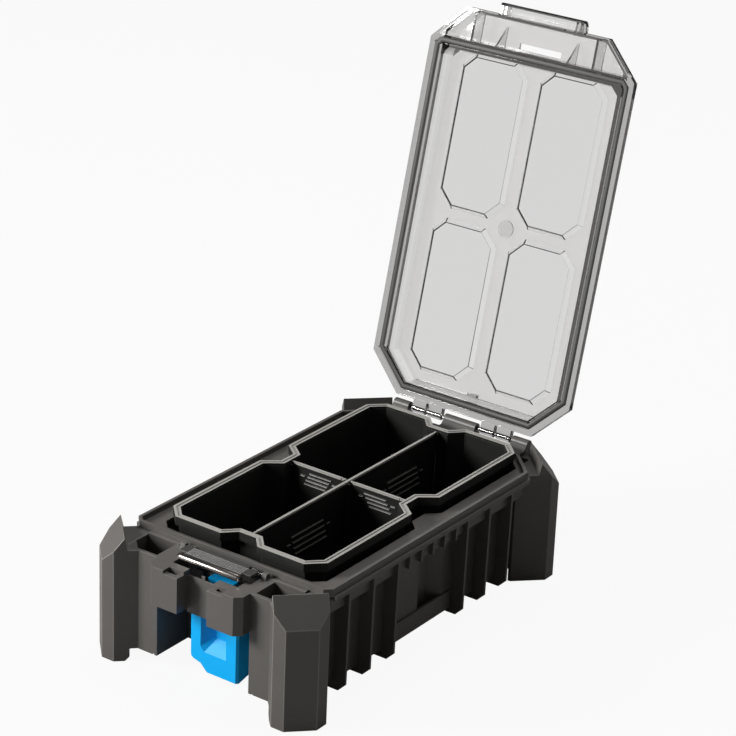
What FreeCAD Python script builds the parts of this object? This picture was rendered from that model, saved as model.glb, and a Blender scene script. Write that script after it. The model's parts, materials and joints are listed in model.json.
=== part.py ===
"""Stackable tool organizer: moulded case with corner posts, clear hinged lid, lift-out
tray with dividers, sprung lid catch and sliding stacking latch.

Millimetres, +Z up. X is the width, -Y the latch end, +Y the hinge end. The origin lies
on the plane of the feet, under the middle of the case. The lid is modelled open.
"""
import FreeCAD, Part
import math
import os
from FreeCAD import Vector

# Overall sizes
CASE_HALF_LENGTH = 200.0
CASE_HALF_WIDTH = 118.0
FOOT_HEIGHT = 12.0
POST_RIDGE_Z = 117.6
DECK_Z = 106.0
RIM_TOP_Z = 112.2
WALL = 3.0
PLAY = 0.3

# Tub
TUB_FLOOR_TOP = 15.0
CAVITY_HALF_WIDTH = 88.0
CAVITY_FRONT = -140.0
CAVITY_REAR = 174.0
CAVITY_FRONT_CHAMFER = 10.0
CAVITY_REAR_CHAMFER = 17.5
LEDGE_Z = 107.3
LEDGE_THICK = 2.5
LEDGE_LIP = 1.5
RIM_HALF_WIDTH = 104.5
RIM_FRONT = -150.8
RIM_REAR = 180.0
RIM_FRONT_CHAMFER = 6.0
RIM_REAR_CHAMFER = 32.9
RIM_BEAD = 3.0
FLANGE_Z = 101.5
FLANGE_OUT = 2.5
SKIRT_LOW_Z = 88.0
SKIRT_INSET = 3.5
SKIRT_THICK = 2.5
NOTCH_CENTRE_Y = 17.0
NOTCH_HALF_FLAT = 9.0
JOG_DEPTH = 10.5

# Ribs on the long sides
RIB_OUT_X = 105.5
RIB_THICK = 2.5
RIB_LOW_Z = 5.0
RIB_PITCH = 34.9
RIB_FIRST_Y = 52.35
SHORT_RIB_PITCH = 17.45
SHORT_RIB_LENGTH = 14.0
PLINTH_TOP_Z = 29.5

# Corner posts
POST_CHAMFER = 19.7
POST_FRONT_FACET = 13.2
POST_FACET_LOW_Z = 93.7
POST_RIDGE_SETBACK = 18.9
POST_WALL = 3.0
POST_CORE_TOP_Z = 86.0
FOOT_IN_X = 92.0

# Front housing
PANEL_Y = -185.0
BLOCK_Y = -200.0
BLOCK_IN_X = 16.0
BLOCK_OUT_X = 43.5
BAY_HALF_WIDTH = 49.5
BLOCK_LOW_Z = 70.0
PANEL_LOW_Z = 66.0
PANEL_TOP_Z = 101.0
POCKET_OUT_X = 84.0
POCKET_FRONT = -181.5
POCKET_REAR = -156.5
POCKET_CHAMFER = 9.8
BAY_REAR = -143.0
SLOT_FRONT = -183.5

# Lid hinge
AXIS_Y = 194.2
AXIS_Z = 113.6
LID_OPEN_DEG = 103.9
PIN_RADIUS = 1.5
PIN_ENDS_X = (8.0, 70.0)
PIN_PLAY = 0.05
PIN_PRESS_PLAY = 0.02
KNUCKLE_RADIUS = 3.6
KNUCKLE_CENTRE_X = 38.4
KNUCKLE_WIDTH = 14.5
KNUCKLE_GAP = 3.5
LUG_RADIUS = 4.6
CENTRE_LUG_HALF = 17.6
END_LUG_X = (58.0, 75.0)

# Lid, in its closed place
LID_HALF_WIDTH = 109.5
LID_FRONT = -183.0
LID_REAR = 186.0
LID_FRONT_CHAMFER = 33.5
LID_REAR_CHAMFER = 34.5
LID_LOW_Z = 112.0
LID_FLANGE_TOP = 118.0
LID_TOP_Z = 129.5
LID_SKIN = 2.5
LID_SKIRT = 2.0
DOME_HALF_WIDTH = 98.0
DOME_REAR = 178.0
DOME_TAPER = 4.5
WELL_FRONT = -143.0
WELL_REAR = 172.7
WELL_CORNER_SUM = 241.8
WELL_SIDE_DRAFT = 2.0
WELL_KNEE_Z = 122.0
SEAL_INSET = 5.6
SEAL_TOP_Z = 115.3
SEAL_WALL_Y = -153.0
PANEL_SINK = 4.5
SEAL_PLAY = 0.3

# Catch
CATCH_Y = -157.0
CATCH_Z = 109.0
CATCH_PIN_RADIUS = 1.0
CATCH_BARREL_RADIUS = 2.7
BAR_Y = -177.0
BAR_Z = 110.3
BAR_RADIUS = 3.2
BAR_HALF = 33.0
PLATE_HALF = 38.0
SPRING_START_X = 29.5
SPRING_RADIUS = 2.1
SPRING_WIRE_RADIUS = 0.45
SPRING_PITCH = 1.6
SPRING_TURNS = 4
SPRING_SIDES = 6

# Stacking latch
LATCH_FRONT = -170.0
LATCH_REAR = -149.4
LATCH_HALF = 26.0
LATCH_LOW_Z = 5.0
LATCH_SHOULDER_Z = 64.0
LATCH_TOP_Z = 95.0
LATCH_STEM_X = (-8.0, 17.0)
GUIDE_FRONT = -147.0
GUIDE_HALF = 33.4
GUIDE_Z = (16.0, 88.0)
SCREW_PLACES = [(x, z) for x in (-23.0, 23.0) for z in (22.0, 82.0)]
SCREW_RADIUS = 1.5
SCREW_HEAD_RADIUS = 2.8
SCREW_LENGTH = 6.0
SCREW_PLAY = 0.05

# Tray and dividers
TRAY_HALF_WIDTH = 83.0
TRAY_FRONT = -138.7
TRAY_REAR = 172.0
TRAY_CHAMFER = 14.4
TRAY_TOP_Z = 121.0
TRAY_SKIRT_Z = 113.0
TRAY_FLOOR = 2.0
TRAY_WALL = 2.0
TRAY_RIM = 4.0
TRAY_DRAFT = 3.0
SIDE_NOTCH = (14.5, 9.0, 12.0)
END_NOTCH = (12.0, 9.0, 11.0)
DIVIDER_THICK = 2.0
DIVIDER_TOP_Z = 119.5
CREST_PROUD = 0.5
GRIP_HEIGHT = 1.3
GRIP_PROUD = 0.9
GUIDE_REACH = 3.2
TEE_HALF = 3.2

ROOT_HALF = math.sqrt(0.5)


def polygon(points, z):
    """Closed wire through plan points at height z."""
    corners = [Vector(x, y, z) for x, y in points]
    return Part.makePolygon(corners + corners[:1])


def prism(points, z_low, z_high):
    """Upright prism on a plan outline."""
    return Part.Face(polygon(points, z_low)).extrude(Vector(0, 0, z_high - z_low))


def taper(points_low, z_low, points_high, z_high):
    """Solid with flat faces between two outlines of equal corner count."""
    return Part.makeLoft([polygon(points_low, z_low), polygon(points_high, z_high)], True, True)


def block(x_low, x_high, y_low, y_high, z_low, z_high):
    """Box between limits."""
    size = (x_high - x_low, y_high - y_low, z_high - z_low)
    return Part.makeBox(*size, Vector(x_low, y_low, z_low))


def along_x(profile, x_low, x_high):
    """Prism along X on a profile of (y, z) points."""
    corners = [Vector(x_low, y, z) for y, z in profile]
    face = Part.Face(Part.makePolygon(corners + corners[:1]))
    return face.extrude(Vector(x_high - x_low, 0, 0))


def along_y(profile, y_low, y_high):
    """Prism along Y on a profile of (x, z) points."""
    corners = [Vector(x, y_low, z) for x, z in profile]
    face = Part.Face(Part.makePolygon(corners + corners[:1]))
    return face.extrude(Vector(0, y_high - y_low, 0))


def rod_x(radius, x_low, x_high, y, z):
    """Round bar along X."""
    return Part.makeCylinder(radius, x_high - x_low, Vector(x_low, y, z), Vector(1, 0, 0))


def mirror_x(shape):
    """Copy on the other side of the middle plane."""
    return shape.mirror(Vector(0, 0, 0), Vector(1, 0, 0))


def both_sides(shapes):
    """The shapes and their copies mirrored left to right."""
    return list(shapes) + [mirror_x(shape) for shape in shapes]


def fuse(shapes):
    """One body from touching shapes, with split faces merged."""
    first = shapes[0]
    return first.multiFuse(shapes[1:]).removeSplitter()


def octagon(half_width, front, rear, front_chamfer, rear_chamfer):
    """Plan rectangle with cut corners, counter-clockwise."""
    return [
        (-half_width + front_chamfer, front),
        (half_width - front_chamfer, front),
        (half_width, front + front_chamfer),
        (half_width, rear - rear_chamfer),
        (half_width - rear_chamfer, rear),
        (-half_width + rear_chamfer, rear),
        (-half_width, rear - rear_chamfer),
        (-half_width, front + front_chamfer),
    ]


def notched(outline, side_notch, end_notch):
    """Octagon with a trapezoid notch in the middle of each side, and of each end if given."""
    depth, flat, slope = side_notch
    low, high = NOTCH_CENTRE_Y - flat, NOTCH_CENTRE_Y + flat
    width = outline[2][0]
    front, rear = outline[0][1], outline[4][1]
    right = [
        (width, low - slope),
        (width - depth, low),
        (width - depth, high),
        (width, high + slope),
    ]
    left = [(-x, y) for x, y in reversed(right)]
    front_notch, rear_notch = [], []
    if end_notch:
        end_depth, end_flat, end_slope = end_notch
        front_notch = [
            (-end_flat - end_slope, front),
            (-end_flat, front + end_depth),
            (end_flat, front + end_depth),
            (end_flat + end_slope, front),
        ]
        rear_notch = [(-x, rear - (y - front)) for x, y in front_notch]
    return (
        outline[:1] + front_notch + outline[1:3] + right + outline[3:5]
        + rear_notch + outline[5:7] + left + outline[7:]
    )


def inset(points, distance):
    """Outline moved inwards by a distance (outwards if negative), with mitred corners."""
    moved = []
    count = len(points)
    for index in range(count):
        before, here, after = points[index - 1], points[index], points[(index + 1) % count]
        first = (here[0] - before[0], here[1] - before[1])
        second = (after[0] - here[0], after[1] - here[1])
        first_length = math.hypot(*first)
        second_length = math.hypot(*second)
        first_normal = (-first[1] / first_length, first[0] / first_length)
        second_normal = (-second[1] / second_length, second[0] / second_length)
        bisector = (first_normal[0] + second_normal[0], first_normal[1] + second_normal[1])
        scale = 2.0 * distance / (bisector[0] ** 2 + bisector[1] ** 2)
        moved.append((here[0] + bisector[0] * scale, here[1] + bisector[1] * scale))
    return moved


def ring(outer, inner, z_low, z_high):
    """Upright ring between two outlines."""
    return prism(outer, z_low, z_high).cut(prism(inner, z_low - 1.0, z_high + 1.0))


def open_lid(shape):
    """Shape turned from the closed place to the open one about the hinge axis."""
    turned = shape.copy()
    turned.rotate(Vector(0, AXIS_Y, AXIS_Z), Vector(1, 0, 0), -LID_OPEN_DEG)
    return turned


def cavity_outline():
    """Inside of the tub, with a jog in each long side that follows the tray."""
    outline = octagon(
        CAVITY_HALF_WIDTH, CAVITY_FRONT, CAVITY_REAR, CAVITY_FRONT_CHAMFER, CAVITY_REAR_CHAMFER
    )
    return notched(outline, (JOG_DEPTH, NOTCH_HALF_FLAT, JOG_DEPTH), None)


def rim_outline():
    """Outside of the tub's rim."""
    return octagon(RIM_HALF_WIDTH, RIM_FRONT, RIM_REAR, RIM_FRONT_CHAMFER, RIM_REAR_CHAMFER)


def side_rib(y_centre):
    """Full rib on the right side, which wraps under the floor."""
    wall_x = CAVITY_HALF_WIDTH + 2.0
    profile = [
        (wall_x, FOOT_HEIGHT + 1.0),
        (56.0, FOOT_HEIGHT + 1.0),
        (62.0, RIB_LOW_Z),
        (97.0, RIB_LOW_Z),
        (104.0, FOOT_HEIGHT),
        (RIB_OUT_X, FLANGE_Z + 1.0),
        (wall_x, FLANGE_Z + 1.0),
    ]
    return along_y(profile, y_centre - RIB_THICK / 2, y_centre + RIB_THICK / 2)


def short_rib(y_centre):
    """Short rib that hangs from the flange in the middle bay."""
    low = FLANGE_Z - SHORT_RIB_LENGTH
    profile = [
        (99.0, low),
        (RIB_OUT_X - 0.8, low),
        (RIB_OUT_X, FLANGE_Z + 1.0),
        (99.0, FLANGE_Z + 1.0),
    ]
    return along_y(profile, y_centre - RIB_THICK / 2, y_centre + RIB_THICK / 2)


def hinge_lug(x_low, x_high):
    """Lug that carries a hinge pin behind the rim, with its web down the rear wall."""
    profile = [
        (CAVITY_REAR + 2.0, 64.0),
        (CAVITY_REAR + 2.0, 110.3),
        (186.3, 110.3),
        (189.6, AXIS_Z),
        (AXIS_Y + LUG_RADIUS, AXIS_Z),
        (AXIS_Y + LUG_RADIUS, 98.0),
    ]
    return fuse([
        along_x(profile, x_low, x_high),
        rod_x(LUG_RADIUS, x_low, x_high, AXIS_Y, AXIS_Z),
    ])


def make_tub():
    """Moulded tub: walls, floor, ledge, rim, flange, ribs and hinge lugs."""
    cavity = cavity_outline()
    wall = inset(cavity, -WALL)
    rim = rim_outline()
    shell = prism(wall, FOOT_HEIGHT, LEDGE_Z - 0.5)
    shell = shell.cut(prism(cavity, TUB_FLOOR_TOP, LEDGE_Z))
    ledge = ring(rim, inset(cavity, LEDGE_LIP), LEDGE_Z - LEDGE_THICK, LEDGE_Z)
    bead = ring(rim, inset(rim, RIM_BEAD), LEDGE_Z - 0.5, RIM_TOP_Z)
    skirt_outer = inset(rim, SKIRT_INSET)
    skirt = ring(skirt_outer, inset(skirt_outer, SKIRT_THICK), SKIRT_LOW_Z, LEDGE_Z - 1.0)
    flange = ring(inset(rim, -FLANGE_OUT), skirt_outer, FLANGE_Z, LEDGE_Z - LEDGE_THICK + 0.5)
    front_cut = block(-130, 130, -170, -144.0, SKIRT_LOW_Z - 1.0, LEDGE_Z - LEDGE_THICK)
    skirt = skirt.cut(front_cut)
    front_flange_cut = block(-130, 130, -170, -144.0, FLANGE_Z - 1.0, RIM_TOP_Z)
    flange = flange.cut(front_flange_cut)
    ribs = []
    for index in range(3):
        for sign in (-1, 1):
            ribs.append(side_rib(sign * (RIB_FIRST_Y + index * RIB_PITCH)))
    for index in range(-2, 3):
        ribs.append(short_rib(index * SHORT_RIB_PITCH))
    plinth = block(CAVITY_HALF_WIDTH + 2.0, 93.0, -48.0, 48.0, FOOT_HEIGHT, PLINTH_TOP_Z)
    sides = both_sides(ribs + [plinth])
    lugs = [
        hinge_lug(-CENTRE_LUG_HALF, CENTRE_LUG_HALF),
        hinge_lug(*END_LUG_X),
        hinge_lug(-END_LUG_X[1], -END_LUG_X[0]),
    ]
    tub = fuse([shell, ledge, bead, skirt, flange] + sides + lugs)
    bore = rod_x(PIN_RADIUS + PIN_PRESS_PLAY, *PIN_ENDS_X, AXIS_Y, AXIS_Z)
    pilots = [
        screw_at(x, z, SCREW_RADIUS + SCREW_PLAY, SCREW_LENGTH + 0.2, GUIDE_FRONT)
        for x, z in SCREW_PLACES
    ]
    return tub.cut(Part.makeCompound([bore, mirror_x(bore)] + pilots))


def tub_envelope():
    """Filled form of the tub, against which the posts and the housing seat."""
    wall = inset(cavity_outline(), -WALL)
    rim = rim_outline()
    skirt = inset(rim, SKIRT_INSET)
    return fuse([
        prism(wall, -5.0, LEDGE_Z),
        prism(skirt, SKIRT_LOW_Z, LEDGE_Z).cut(block(-130, 130, -170, -144.0, 0, LEDGE_Z)),
        prism(inset(rim, -FLANGE_OUT), FLANGE_Z, RIM_TOP_Z + 1.0).cut(
            block(-130, 130, -170, -144.0, 0, RIM_TOP_Z + 2.0)
        ),
        prism(rim, LEDGE_Z - LEDGE_THICK, RIM_TOP_Z + 1.0),
    ])


def corner_direction(distance, across, z):
    """Point at a distance along the front right diagonal and across it."""
    x = (distance + across) * ROOT_HALF
    y = (-distance + across) * ROOT_HALF
    return Vector(x, y, z)


def make_front_right_post():
    """Corner post with a slanted hexagonal facet on top, hollow from below."""
    facet_x = CASE_HALF_WIDTH - POST_CHAMFER
    facet_y = -CASE_HALF_LENGTH + POST_CHAMFER
    outline = [
        (70.0, PANEL_Y),
        (facet_x - POST_FRONT_FACET, -CASE_HALF_LENGTH),
        (facet_x, -CASE_HALF_LENGTH),
        (CASE_HALF_WIDTH, facet_y),
        (CASE_HALF_WIDTH, facet_y + POST_FRONT_FACET),
        (95.0, -144.1),
        (90.0, -144.1),
        (POCKET_OUT_X, -154.0),
        (POCKET_OUT_X, POCKET_FRONT),
        (70.0, POCKET_FRONT),
    ]
    outer = (facet_x + CASE_HALF_LENGTH) * ROOT_HALF
    ridge = outer - POST_RIDGE_SETBACK
    profile = [
        (130.0, -1.0),
        (outer + 5.0, -1.0),
        (outer + 5.0, POST_FACET_LOW_Z),
        (outer, POST_FACET_LOW_Z),
        (ridge, POST_RIDGE_Z),
        (ridge - 2.5, DECK_Z),
        (130.0, DECK_Z),
    ]
    half_span = 100.0
    corners = [corner_direction(s, -half_span, z) for s, z in profile]
    face = Part.Face(Part.makePolygon(corners + corners[:1]))
    roof = face.extrude(corner_direction(0.0, 2 * half_span, 0.0))
    post = prism(outline, 0.0, POST_RIDGE_Z + 1.0).common(roof)
    core = [
        (POCKET_OUT_X + 1.0, -198.0),
        (facet_x, -CASE_HALF_LENGTH),
        (CASE_HALF_WIDTH, facet_y),
        (CASE_HALF_WIDTH, facet_y + POST_FRONT_FACET),
        (97.0, -146.0),
        (92.0, -146.0),
        (POCKET_OUT_X, -155.0),
    ]
    post = post.cut(prism(inset(core, POST_WALL), -1.0, POST_CORE_TOP_Z))
    wedge_profile = [(-6.0, -1.0), (12.2, -1.0), (0.0, FOOT_HEIGHT), (-6.0, FOOT_HEIGHT)]
    base = Vector(70.0, PANEL_Y, 0.0)
    along = Vector(ROOT_HALF, -ROOT_HALF, 0.0)
    across = Vector(ROOT_HALF, ROOT_HALF, 0.0)
    wedge = [base + along * t - across * 14.0 + Vector(0, 0, z) for t, z in wedge_profile]
    cutter = Part.Face(Part.makePolygon(wedge + wedge[:1])).extrude(across * 19.0)
    foot_gap = block(60.0, FOOT_IN_X, PANEL_Y - 5.0, -140.0, -1.0, FOOT_HEIGHT)
    return post.cut(cutter).cut(foot_gap)


def make_posts(envelope):
    """The four corner posts by name."""
    mirror_y = (Vector(0, 0, 0), Vector(0, 1, 0))
    front_right = make_front_right_post()
    lug_zone = block(0.0, END_LUG_X[1], CAVITY_REAR, CASE_HALF_LENGTH + 1.0, -1.0, POST_RIDGE_Z)
    rear_right = front_right.mirror(*mirror_y).cut(lug_zone)
    shapes = {
        "corner_post_front_right": front_right,
        "corner_post_front_left": mirror_x(front_right),
        "corner_post_rear_right": rear_right,
        "corner_post_rear_left": mirror_x(rear_right),
    }
    return {name: largest(shape.cut(envelope)) for name, shape in shapes.items()}


def largest(shape):
    """Biggest solid of a shape."""
    return max(shape.Solids, key=lambda solid: solid.Volume)


def housing_side():
    """Right half of the housing: pocket, bay wall and forward block."""
    pocket = block(BAY_HALF_WIDTH, POCKET_OUT_X, PANEL_Y, POCKET_REAR + WALL, FOOT_HEIGHT, DECK_Z)
    pocket = pocket.cut(block(
        BAY_HALF_WIDTH + 3.5, POCKET_OUT_X + 1, POCKET_FRONT, POCKET_REAR, TUB_FLOOR_TOP, DECK_Z + 1
    ))
    corner = [
        (POCKET_OUT_X, POCKET_FRONT - 1.0),
        (POCKET_OUT_X, POCKET_FRONT + POCKET_CHAMFER),
        (POCKET_OUT_X - POCKET_CHAMFER, POCKET_FRONT),
        (POCKET_OUT_X - POCKET_CHAMFER, POCKET_FRONT - 1.0),
    ]
    pocket = pocket.fuse(prism(corner, FOOT_HEIGHT, DECK_Z))
    toe = [(49.0, 18.5), (51.2, 14.2), (56.0, 11.0), (49.0, 11.0)]
    pocket = pocket.cut(along_y(toe, PANEL_Y - 1, PANEL_Y + 2.0))
    bay_wall = block(BAY_HALF_WIDTH, BAY_HALF_WIDTH + WALL, PANEL_Y, BAY_REAR, FOOT_HEIGHT, 103.0)
    plan = [
        (BLOCK_IN_X, PANEL_Y + 2.0),
        (BLOCK_IN_X, BLOCK_Y),
        (BLOCK_OUT_X, BLOCK_Y),
        (BAY_HALF_WIDTH, BLOCK_Y + 6.0),
        (BAY_HALF_WIDTH, PANEL_Y + 2.0),
    ]
    nose = prism(plan, BLOCK_LOW_Z, DECK_Z)
    core = [
        (BLOCK_IN_X + 2.5, PANEL_Y + 3.0),
        (BLOCK_IN_X + 2.5, BLOCK_Y + 2.5),
        (BLOCK_OUT_X - 1.0, BLOCK_Y + 2.5),
        (BAY_HALF_WIDTH - 2.5, BLOCK_Y + 7.0),
        (BAY_HALF_WIDTH - 2.5, PANEL_Y + 3.0),
    ]
    nose = nose.cut(prism(core, BLOCK_LOW_Z - 1.0, 96.0))
    nose = nose.cut(block(BLOCK_IN_X - 1, 31.0, BLOCK_Y - 1, BLOCK_Y + 9.0, DECK_Z - 3.0, DECK_Z + 1))
    nose = nose.cut(block(21.0, 31.0, BLOCK_Y + 5.0, BLOCK_Y + 9.0, 98.5, DECK_Z + 1))
    strip = block(BAY_HALF_WIDTH, POCKET_OUT_X, POCKET_REAR, RIM_FRONT, DECK_Z - WALL, DECK_Z + 1.2)
    return [pocket, bay_wall, nose, strip]


def pin_boss():
    """Ear on the deck that holds one end of the catch pin."""
    profile = [
        (CATCH_Y - 4.0, DECK_Z - 1.0),
        (CATCH_Y - 2.0, CATCH_Z + 2.4),
        (CATCH_Y + 2.0, CATCH_Z + 2.4),
        (CATCH_Y + 4.0, DECK_Z - 1.0),
    ]
    return along_x(profile, 41.0, 46.0)


def make_housing(envelope, posts):
    """Front housing over the latch bay, with the slot that takes the lid's hook."""
    deck = block(-BAY_HALF_WIDTH, BAY_HALF_WIDTH, PANEL_Y, RIM_FRONT, DECK_Z - WALL, DECK_Z)
    shelf = block(
        -BAY_HALF_WIDTH, BAY_HALF_WIDTH, RIM_FRONT - 1.0, BAY_REAR, 102.0, LEDGE_Z - LEDGE_THICK
    )
    bar_slot = block(-34.6, 34.6, SLOT_FRONT, -170.0, DECK_Z - 4, DECK_Z + 2)
    plate_slot = block(-40.0, 40.0, -172.0, -152.6, DECK_Z - 4, DECK_Z + 2)
    deck = deck.cut(bar_slot).cut(plate_slot)
    panel = block(-BLOCK_IN_X - 1, BLOCK_IN_X + 1, PANEL_Y, SLOT_FRONT, PANEL_LOW_Z, PANEL_TOP_Z)
    deck = deck.cut(block(-BLOCK_IN_X, BLOCK_IN_X, PANEL_Y - 1, SLOT_FRONT + 1, PANEL_TOP_Z, DECK_Z + 1))
    nib = block(-1.6, 1.6, PANEL_Y, SLOT_FRONT, PANEL_TOP_Z - 1, DECK_Z - 1.5)
    bridge = block(-BAY_HALF_WIDTH, BAY_HALF_WIDTH, PANEL_Y, SLOT_FRONT, BLOCK_LOW_Z, PANEL_TOP_Z)
    sides = both_sides(housing_side() + [pin_boss()])
    housing = fuse([deck, shelf, panel, nib, bridge] + sides)
    bore = rod_x(CATCH_PIN_RADIUS + 0.02, -50.0, 50.0, CATCH_Y, CATCH_Z)
    return largest(housing.cut(bore).cut(Part.makeCompound([envelope] + posts)))


def lid_outline(step):
    """Lid's outer edge moved inwards by a step."""
    outline = octagon(LID_HALF_WIDTH, LID_FRONT, LID_REAR, LID_FRONT_CHAMFER, LID_REAR_CHAMFER)
    return inset(outline, step)


def dome_low_outline(step):
    """Raised middle of the lid at its foot, moved inwards by a step."""
    return inset(octagon(DOME_HALF_WIDTH, LID_FRONT + 1.5, DOME_REAR, 24.0, 27.0), step)


def dome_high_outline(step):
    """Raised middle of the lid at its top, moved inwards by a step."""
    half_width = DOME_HALF_WIDTH - DOME_TAPER
    return inset(octagon(half_width, LID_FRONT + 3.0, DOME_REAR - DOME_TAPER, 24.0, 27.0), step)


def well_outline(side_step, step):
    """Hollow of the lid over the compartments, with the sides and then all edges moved in.

    The rear edge and the rear corners clear the tray's rim, which the lid passes as it
    swings, so the rear corners stay on one line whatever the half width is.
    """
    half_width = DOME_HALF_WIDTH - LID_SKIN - side_step
    rear_chamfer = half_width + WELL_REAR - WELL_CORNER_SUM
    return inset(octagon(half_width, WELL_FRONT, WELL_REAR, 8.0, rear_chamfer), step)


def lid_well():
    """Well of the lid: steep walls beside the tray's rim, slanted ones above it."""
    low = well_outline(0.0, 0.0)
    knee = well_outline(WELL_SIDE_DRAFT, 0.0)
    top = well_outline(WELL_SIDE_DRAFT, LID_SKIN)
    steep = taper(low, LID_LOW_Z - 1.0, knee, WELL_KNEE_Z)
    slanted = taper(knee, WELL_KNEE_Z, top, LID_TOP_Z - LID_SKIN)
    return steep.fuse(slanted)


def panel_outlines():
    """Plan octagons of the four sunken panels of the lid."""
    front = [
        (6.0, -129.0), (20.0, -143.0), (65.0, -143.0), (79.0, -129.0),
        (79.0, -11.0), (63.0, 5.0), (22.0, 5.0), (6.0, -11.0),
    ]
    rear = [
        (6.0, 29.0), (22.0, 13.0), (65.0, 13.0), (79.0, 27.0),
        (79.0, 145.0), (63.0, 161.0), (22.0, 161.0), (6.0, 145.0),
    ]
    mirrored = [[(-x, y) for x, y in reversed(points)] for points in (front, rear)]
    return [front, rear] + mirrored


def seal_outlines():
    """Outer and inner edges of the seal groove."""
    outer = inset(rim_outline(), -0.6)
    inner = inset(rim_outline(), SEAL_INSET)
    return outer, inner


def lid_knuckles():
    """Two pairs of hinge knuckles on the lid's rear edge."""
    arm = [
        (LID_REAR - 2.0, LID_LOW_Z),
        (LID_REAR - 2.0, AXIS_Z + KNUCKLE_RADIUS),
        (AXIS_Y, AXIS_Z + KNUCKLE_RADIUS),
        (AXIS_Y, AXIS_Z - KNUCKLE_RADIUS + 1.2),
        (AXIS_Y - 3.0, AXIS_Z - KNUCKLE_RADIUS + 1.2),
    ]
    knuckles = []
    for side in (-1, 1):
        for offset in (-1, 1):
            centre = side * KNUCKLE_CENTRE_X + offset * (KNUCKLE_WIDTH + KNUCKLE_GAP) / 2
            low, high = centre - KNUCKLE_WIDTH / 2, centre + KNUCKLE_WIDTH / 2
            barrel = rod_x(KNUCKLE_RADIUS, low, high, AXIS_Y, AXIS_Z)
            knuckles.append(fuse([along_x(arm, low, high), barrel]))
    return knuckles


def lid_handle():
    """Rolled grip and hook edge at the lid's front."""
    root_y = LID_FRONT + 4.5
    roll = [
        (root_y, LID_TOP_Z - 0.3),
        (-188.0, LID_TOP_Z - 1.0),
        (-192.0, LID_TOP_Z - 3.6),
        (-193.0, LID_TOP_Z - 6.5),
        (-193.0, 117.5),
        (-190.6, 117.5),
        (-190.6, LID_TOP_Z - 7.0),
        (-189.6, LID_TOP_Z - 4.9),
        (-186.8, LID_TOP_Z - 3.4),
        (root_y, LID_TOP_Z - 2.4),
    ]
    cheek = [
        (root_y, LID_FLANGE_TOP - 1.0),
        (root_y, LID_TOP_Z - 1.0),
        (-188.0, LID_TOP_Z - 1.5),
        (-192.4, LID_TOP_Z - 6.0),
        (-192.4, 118.5),
    ]
    grip = along_x(roll, -44.0, 44.0)
    cheeks = both_sides([along_x(cheek, 41.5, 44.0), along_x(cheek, 37.0, 39.0)])
    hook = block(-31.0, 31.0, LID_FRONT + 0.2, LID_FRONT + 2.0, 109.6, LID_LOW_Z + 2.0)
    notches = [block(side * 15 - 2, side * 15 + 2, -186, -178, 109, 111) for side in (-1, 1)]
    return [grip, hook.cut(Part.makeCompound(notches))] + cheeks


def shut_lid():
    """Whole moulding of the clear lid, shut: flange, raised plate, seal groove, lip, handle."""
    flange = prism(lid_outline(0.0), LID_LOW_Z, LID_FLANGE_TOP)
    dome = taper(dome_low_outline(0.0), LID_FLANGE_TOP - 1.0, dome_high_outline(0.0), LID_TOP_Z)
    body = fuse([flange, dome])
    lip_zone = block(-LID_HALF_WIDTH, LID_HALF_WIDTH, LID_FRONT, SEAL_WALL_Y, 100.0, LID_TOP_Z)
    lip_low = prism(lid_outline(LID_SKIRT), LID_LOW_Z - 1.0, LID_FLANGE_TOP - LID_SKIRT)
    lip_high = taper(
        dome_low_outline(LID_SKIRT), LID_LOW_Z - 1.0, dome_high_outline(LID_SKIRT), LID_TOP_Z - LID_SKIN
    )
    lip = lip_low.fuse(lip_high).common(lip_zone)
    seal_outer, seal_inner = seal_outlines()
    groove = ring(seal_outer, seal_inner, LID_LOW_Z - 1.0, SEAL_TOP_Z)
    body = body.cut(lid_well()).cut(lip).cut(groove)
    pads, dents = [], []
    ceiling = LID_TOP_Z - LID_SKIN
    for outline in panel_outlines():
        pads.append(taper(outline, ceiling + 0.5, inset(outline, 4.0), ceiling - PANEL_SINK))
        dents.append(taper(
            inset(outline, 1.0), LID_TOP_Z + 0.01, inset(outline, 5.0), LID_TOP_Z - PANEL_SINK
        ))
    gate = Part.makeCylinder(8.0, 1.5, Vector(0, 9, ceiling - 1.2))
    gusset = [(SEAL_WALL_Y, LID_LOW_Z), (SEAL_WALL_Y, ceiling + 0.5), (-173.0, ceiling + 0.5)]
    ribs = both_sides([
        along_x(gusset, 37.2, 39.2),
        block(64.0, 66.5, -181.0, SEAL_WALL_Y, LID_LOW_Z, ceiling + 0.5),
    ])
    tab = block(-5.0, 5.0, 167.0, 170.0, ceiling - 5.0, ceiling + 0.5)
    pieces = [body, gate, tab] + pads + ribs + lid_handle() + lid_knuckles()
    lid = fuse(pieces).cut(Part.makeCompound(dents))
    slot = block(-22.4, 22.4, -159.9, -154.0, ceiling - 2.0, LID_TOP_Z + 1.0)
    bore = rod_x(PIN_RADIUS + PIN_PLAY, -70.0, 70.0, AXIS_Y, AXIS_Z)
    return largest(lid.cut(slot).cut(bore))


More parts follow.
